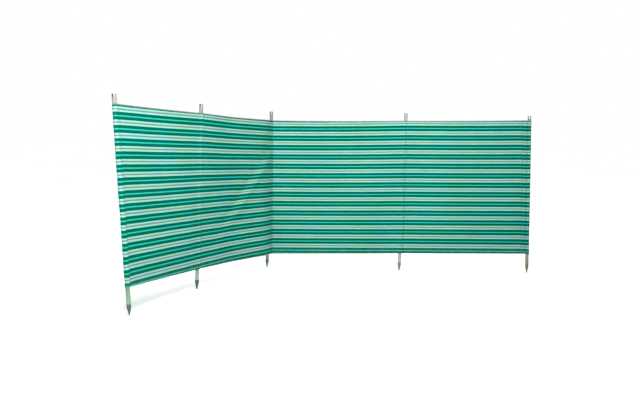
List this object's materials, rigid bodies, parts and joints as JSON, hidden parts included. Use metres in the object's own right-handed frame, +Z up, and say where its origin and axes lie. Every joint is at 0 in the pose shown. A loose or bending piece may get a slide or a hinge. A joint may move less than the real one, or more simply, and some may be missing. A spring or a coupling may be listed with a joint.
{
  "type": "beach windbreak",
  "caption": "Striped cloth windbreak for the beach: bays of cloth in sewn sleeves on notched, pointed wooden poles, set out in an L.",
  "frame": {"origin": "flat end of the corner pole's tip", "axes": "+X along the right wing, +Y away from the sheltered side, +Z up"},
  "size_m": [3.2439, 2.2653, 1.4618],
  "materials": {
    "pole_wood": "bare weathered wood",
    "tip_metal": "dull dark grey, scuffed",
    "panel_cloth": "plain woven, striped in greens, white and grey",
    "sleeve_cloth": "plain woven, striped in greens, white and grey",
    "hem_cloth": "plain woven, folded and stitched"
  },
  "bodies": {
    "root": {"left_end_pole": "pole_wood", "left_middle_pole": "pole_wood", "corner_pole": "pole_wood", "right_middle_pole": "pole_wood", "right_end_pole": "pole_wood", "left_end_tip": "tip_metal", "left_middle_tip": "tip_metal", "corner_tip": "tip_metal", "right_middle_tip": "tip_metal", "right_end_tip": "tip_metal", "left_end_sleeve": "sleeve_cloth", "left_middle_sleeve": "sleeve_cloth", "corner_sleeve": "sleeve_cloth", "right_middle_sleeve": "sleeve_cloth", "right_end_sleeve": "sleeve_cloth", "left_outer_panel": "panel_cloth", "left_inner_panel": "panel_cloth", "right_inner_panel": "panel_cloth", "right_outer_panel": "panel_cloth", "left_outer_top_hem": "hem_cloth", "left_outer_bottom_hem": "hem_cloth", "left_inner_top_hem": "hem_cloth", "left_inner_bottom_hem": "hem_cloth", "right_inner_top_hem": "hem_cloth", "right_inner_bottom_hem": "hem_cloth", "right_outer_top_hem": "hem_cloth", "right_outer_bottom_hem": "hem_cloth"}
  },
  "joints": []
}
